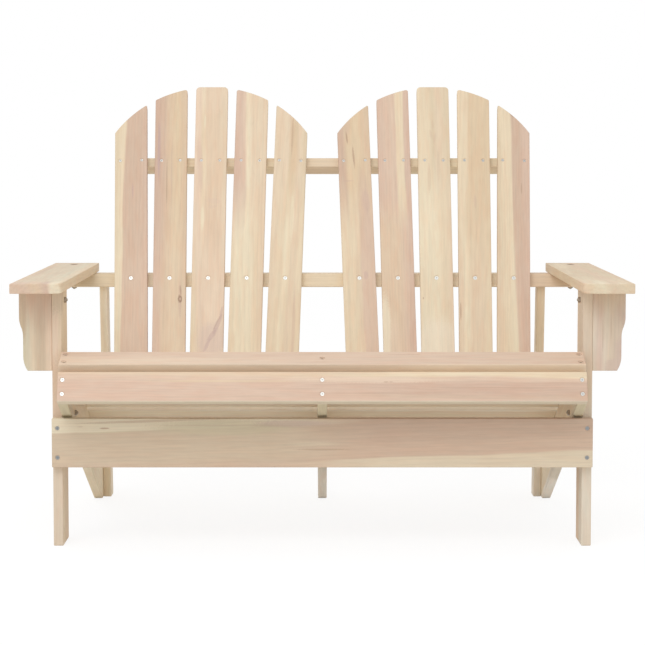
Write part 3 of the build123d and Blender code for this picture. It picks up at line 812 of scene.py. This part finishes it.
frame_cuts = {
    "left_front_leg": (upright, leg_width, dict(
        seed=22, skew=2.2,
        low=[(0, "putty"), (0.2, "putty"), (0.26, "straw"), (1, "sand")],
        high=[(0, "peach"), (0.2, "sand"), (0.26, "straw"), (1, "straw")],
        # painted shadow of the arm: the biscuit mark darkens the top of the leg's front
        marks=[(-50, 50, 5, 52, 0, "taupe", 0.7), (-42, 266, 16, 44, 0, "biscuit", 0.95)],
    )),
    "right_front_leg": (upright, leg_width, dict(
        seed=23, skew=2.2,
        low=[(0, "chalk"), (0.12, "chalk"), (0.5, "tan"), (1, "straw")],
        high=[(0, "putty"), (0.4, "putty"), (1, "sand")],
        # painted shadow of the arm: the biscuit mark darkens the top of the leg's front
        marks=[(-42, 266, 16, 40, 0, "biscuit", 0.5)],
    )),
    "left_stringer": (along_the_seat, stringer_width, dict(
        seed=24, low=[(0, "bone"), (0.1, "cream"), (0.5, "ivory"), (1, "cream")],
        high=[(0, "cream"), (0.5, "ivory"), (1, "cream")], marks=nose_painted_shade,
    )),
    "middle_stringer": (along_the_seat, stringer_width, dict(
        seed=25, low=[(0, "bone"), (0.5, "bone"), (1, "sand")],
        high=[(0, "milk"), (1, "milk")], marks=nose_painted_shade,
    )),
    "right_stringer": (along_the_seat, stringer_width, dict(
        seed=26, low=[(0, "bone"), (0.1, "cream"), (0.5, "cream"), (1, "straw")],
        high=[(0, "milk"), (0.1, "ivory"), (0.5, "ivory"), (1, "pale")],
        marks=nose_painted_shade + [(-57, 110, 8, 50, 0, "chalk", 0.9)],
    )),
    "left_rear_leg": (leaning_leg, rear_leg_width, dict(
        seed=27, skew=1.2, low=[(0, "ivory"), (0.3, "pale"), (0.6, "ivory"), (1, "pale")],
    )),
    "right_rear_leg": (leaning_leg, rear_leg_width, dict(
        seed=28, skew=1.2, low=[(0, "milk"), (0.3, "pale"), (0.6, "milk"), (1, "pale")],
        high=[(0, "straw"), (1, "straw")],
    )),
    "left_arm": (arm_turn, arm_width, dict(
        seed=29, pith=(20, -70), rings=8, change=(-0.5, -0.34),
        low=[
            (0, "blush"), (0.3, "blush"), (0.5, "tan"), (0.72, "rose"), (0.82, "ivory"),
            (0.96, "ivory"), (1, "straw"),
        ],
        high=[(0, "tan"), (0.3, "linen"), (0.6, "linen"), (0.8, "bone"), (1, "straw")],
        marks=[(0, 329, 7, 15, 0, "bark", 0.8), (-36, 60, 4, 180, 0, "fawn", 0.5)],
    )),
    "right_arm": (arm_turn, arm_width, dict(
        seed=30, pith=(-20, -70), rings=8, change=(-0.48, -0.2),
        low=[
            (0, "tan"), (0.12, "straw"), (0.4, "cream"), (0.6, "sand"), (0.8, "straw"),
            (1, "sand"),
        ],
        high=[(0, "flax"), (0.35, "flax"), (0.6, "tan"), (0.8, "flax"), (1, "tan")],
        marks=[(0, 329, 7, 15, 0, "bark", 0.8), (-31, 270, 14, 90, 0, "straw", 0.9)],
    )),
    "left_arm_bracket": (bracket_turn, bracket_width, dict(
        seed=31, change=(-0.1, 0.45),
        low=[
            (0, "olive"), (0.14, "olive"), (0.33, "ash"), (0.48, "linen"), (0.66, "biscuit"),
            (0.78, "biscuit"), (1, "peach"),
        ],
        # painted shadow of the arm: the tones at the top of the bracket are darker
        high=[(0, "taupe"), (0.15, "biscuit"), (0.45, "fawn"), (0.7, "taupe"), (1, "taupe")],
        # painted shade: the umber mark darkens the bracket towards its left edge
        marks=[(-27, 25, 8, 40, 0, "umber", 0.3)],
    )),
    "right_arm_bracket": (bracket_turn, bracket_width, dict(
        seed=32, change=(0.0, 0.5),
        low=[
            (0, "chalk"), (0.25, "mauve"), (0.45, "chalk"), (0.62, "putty"), (0.9, "heather"),
            (1, "heather"),
        ],
        # painted shadow of the arm: the tones at the top of the bracket are darker
        high=[(0, "taupe"), (0.3, "biscuit"), (0.6, "biscuit"), (1, "biscuit")],
        marks=[
            (6, 4, 22, 22, 0, "putty", 0.7), (10, -74, 16, 14, 0, "heather", 0.7),
            (-13, -10, 1.2, 26, 0, "umber", 0.3), (4, 5, 1.0, 20, 0, "umber", 0.3),
        ],
    )),
    "left_arm_cleat": (cleat_turn, cleat_width, dict(seed=33, low=[(0, "tan"), (1, "sand")])),
    "right_arm_cleat": (cleat_turn, cleat_width, dict(seed=34, low=[(0, "sand"), (1, "peach")])),
}
for name, (turned, width, cut) in frame_cuts.items():
    fir_board(name, turned, width, cut)
print("finished", len(frame_cuts), "boards of the frame and arms")

# %% [markdown]
# ## Screws, bolts and nuts
# The fasteners are zinc-plated steel. Zinc is a bright, slightly warm grey metal, and barrel
# plating leaves it satin, with a faint mottle from the tumbling. Noise a millimetre or two wide
# draws that on every head at once, with nothing to unwrap. Most heads shine nearly white where
# they face the light. Those at the slats' tops are greyer, and the bolts are a warmer, duller
# grey. The screws of the lower front board are a darker grey, which is painted shade. The nuts
# and the screws of the seat are a dull warm grey, which is painted shade with a painted
# reflection of the wood around them.

# %% Plated steel
mottle_size = 1.5
mottle_detail = 2.0
mottle_roughness = 0.08
mottle_shade = 0.85


def plated_steel(name, colour, roughness, members):
    """Zinc-plated steel for a list of fastener nodes."""
    material, tree = empty_material(name)
    coords = add(tree, "TexCoord").outputs
    mottle = add(
        tree, "TexNoise",
        {
            "Vector": coords["Object"], "Scale": 1 / (mottle_size * MM),
            "Detail": mottle_detail,
        },
    ).outputs["Fac"]
    rough = add(
        tree, "MapRange",
        {0: mottle, 3: roughness - mottle_roughness, 4: roughness + mottle_roughness},
    ).outputs[0]
    bright = linear(colour)
    dull = (*(c * mottle_shade for c in bright[:3]), 1.0)
    tint = add(tree, "Mix", {0: mottle, 6: bright, 7: dull}, data_type="RGBA").outputs[2]
    surface = add(
        tree, "BsdfPrincipled", {"Base Color": tint, "Metallic": 1.0, "Roughness": rough}
    )
    add(tree, "OutputMaterial", {"Surface": surface.outputs[0]})
    for member in members:
        dress(member, material)


screw_nodes = [n for n in nodes if n.endswith("_screws")]
bolt_nodes = [n for n in nodes if n.endswith("_bolts")]
zinc_finishes = {  # colour, roughness and the nodes that have it
    # painted shade: the lower front board's screws are a darker grey than bright zinc
    "zinc_with_painted_shade": ("#A3A5A6", 0.4, ["lower_board_screws"]),
    "grey_zinc": ("#C6C4BF", 0.42, ["upper_slat_screws"]),
    "satin_zinc_bolts": ("#B9AD9D", 0.48, bolt_nodes),
    # painted shade and a painted reflection of the wood: the nuts and seat screws are a dull warm
    # grey
    "warm_zinc_with_painted_shade": ("#B3A797", 0.5, ["hex_nuts", "seat_slat_screws"]),
}
greyer_nodes = [n for _, _, members in zinc_finishes.values() for n in members]
bright_nodes = [n for n in screw_nodes if n not in greyer_nodes]
zinc_finishes["bright_zinc"] = ("#D2D2CE", 0.42, bright_nodes)
for name, (colour, roughness, members) in zinc_finishes.items():
    plated_steel(name, colour, roughness, members)
print("plated", len(bright_nodes) + len(greyer_nodes), "groups of fasteners")

# %% [markdown]
# ## Floor
# The bench stands on white paper. What the camera sees of it is white on its own account, so no
# extra light has to bleach it and the wood keeps its colour. The Light Path node tells such rays
# from those that only bounce. For these the floor is plain pale paper, which throws light up
# under the seat. A shadow catcher would also do it, but the picture would then need a backdrop
# behind it. Here a small share of the white is left to the lamps, and holds the soft shadow.

# %% Floor
floor_half = 8.0
floor_bounce = "#F6F4F0"
floor_lift = 0.06
shadow_share = 0.18
light_on_the_floor = 0.8

floor_mesh = bpy.data.meshes.new("paper_floor")
sheet = bmesh.new()
bmesh.ops.create_grid(sheet, x_segments=1, y_segments=1, size=floor_half)
sheet.to_mesh(floor_mesh)
sheet.free()
floor = bpy.data.objects.new("paper_floor", floor_mesh)
bpy.context.scene.collection.objects.link(floor)


def seen_directly(tree):
    """1 for rays of the camera, of reflections and through glass, and 0 for light that bounces."""
    rays = add(tree, "LightPath").outputs
    shiny = add(
        tree, "Math", {0: rays["Is Glossy Ray"], 1: rays["Is Transmission Ray"]},
        operation="MAXIMUM",
    ).outputs[0]
    return add(
        tree, "Math", {0: rays["Is Camera Ray"], 1: shiny}, operation="MAXIMUM"
    ).outputs[0]


paper, tree = empty_material("matt_white_paper")
matt = add(tree, "BsdfDiffuse", {"Color": linear(floor_bounce)})
lift = add(tree, "Emission", {"Strength": floor_lift})
bounce = add(tree, "AddShader", {0: matt.outputs[0], 1: lift.outputs[0]})
catcher = add(tree, "BsdfDiffuse", {"Color": (shadow_share, shadow_share, shadow_share, 1.0)})
glow = add(tree, "Emission", {"Strength": 1.0 - shadow_share * light_on_the_floor})
seen = add(tree, "AddShader", {0: catcher.outputs[0], 1: glow.outputs[0]})
choice = add(
    tree, "MixShader", {0: seen_directly(tree), 1: bounce.outputs[0], 2: seen.outputs[0]}
)
add(tree, "OutputMaterial", {"Surface": choice.outputs[0]})
floor_mesh.materials.append(paper)
print("paper floor", floor_half * 2, "m wide")

# %% [markdown]
# ## Backdrop and light
# Such a picture is taken in a white studio, where light comes from all around and one wide lamp
# gives it a direction. The world is that surround: an even sky for the light that falls on the
# bench, and pure white for what the camera sees behind it. The lamp stands high in front, a
# little to the left, and is more than two metres wide, because a small one would draw hard
# shadows of every slat. A sky texture would tint the wood, so plain white stays.

# %% Studio light
sky_strength = 0.77
lamp_power = 60.0
lamp_size = 2.6
lamp_place = Vector((-1.15, -3.2, 3.5))
lamp_aim = Vector((0, 0, 0.45))
white = (1, 1, 1, 1)

world = bpy.data.worlds.new("white_studio")
bpy.context.scene.world = world
world.use_nodes = True
tree = world.node_tree
tree.nodes.clear()
sky = add(tree, "Background", {"Color": white, "Strength": sky_strength})
backdrop = add(tree, "Background", {"Color": white, "Strength": 1.0})
choice = add(
    tree, "MixShader", {0: seen_directly(tree), 1: sky.outputs[0], 2: backdrop.outputs[0]}
)
add(tree, "OutputWorld", {"Surface": choice.outputs[0]})

lamp_data = bpy.data.lights.new("wide_softbox", "AREA")
lamp_data.energy = lamp_power
lamp_data.size = lamp_size
lamp = bpy.data.objects.new("wide_softbox", lamp_data)
lamp.location = lamp_place
lamp.rotation_euler = (lamp_aim - lamp_place).to_track_quat("-Z", "Y").to_euler()
bpy.context.scene.collection.objects.link(lamp)
print("softbox", round((lamp_aim - lamp_place).length, 2), "m from the bench")
